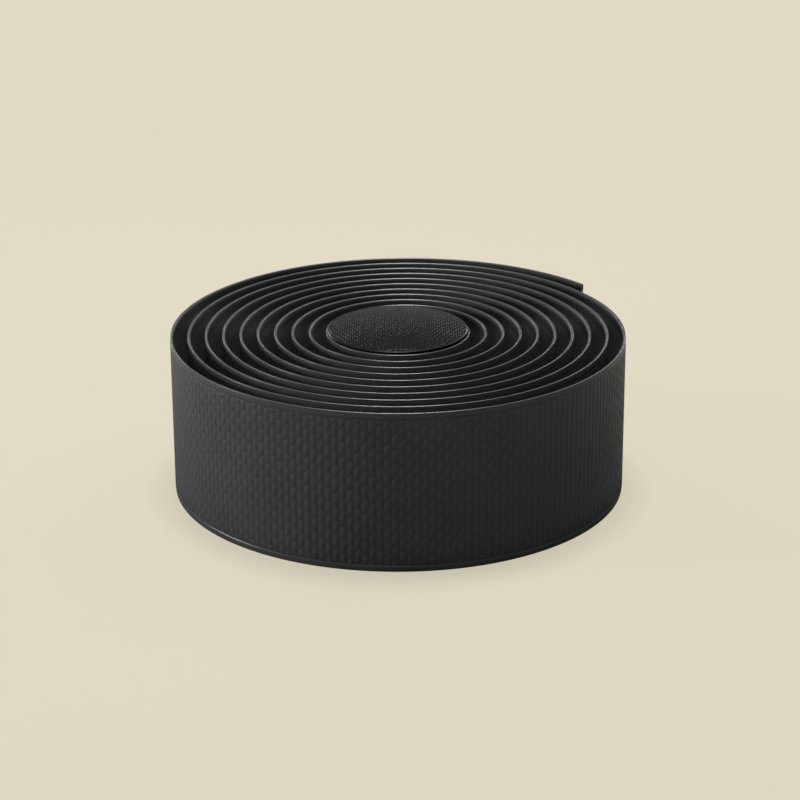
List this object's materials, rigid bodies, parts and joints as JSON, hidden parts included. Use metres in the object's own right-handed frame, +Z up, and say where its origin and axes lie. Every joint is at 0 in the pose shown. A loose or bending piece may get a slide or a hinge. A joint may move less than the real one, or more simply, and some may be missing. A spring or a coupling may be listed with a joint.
{
  "type": "handlebar tape roll",
  "caption": "Padded handlebar tape wound in a loose spiral and standing on its edge, with a domed push-in bar end plug nested in its centre.",
  "frame": {"origin": "on the surface that the roll stands on, under the middle of its outline", "axes": "+Z up along the roll's axis, towards the plug's crown; the tape's outer end lies between +X and +Y"},
  "size_m": [0.0852, 0.0868, 0.032],
  "materials": {
    "tape_cover": "satin, finely embossed",
    "plug_plastic": "satin, finely knurled crown"
  },
  "bodies": {
    "root": {"tape": "tape_cover", "end_plug": "plug_plastic"}
  },
  "joints": []
}
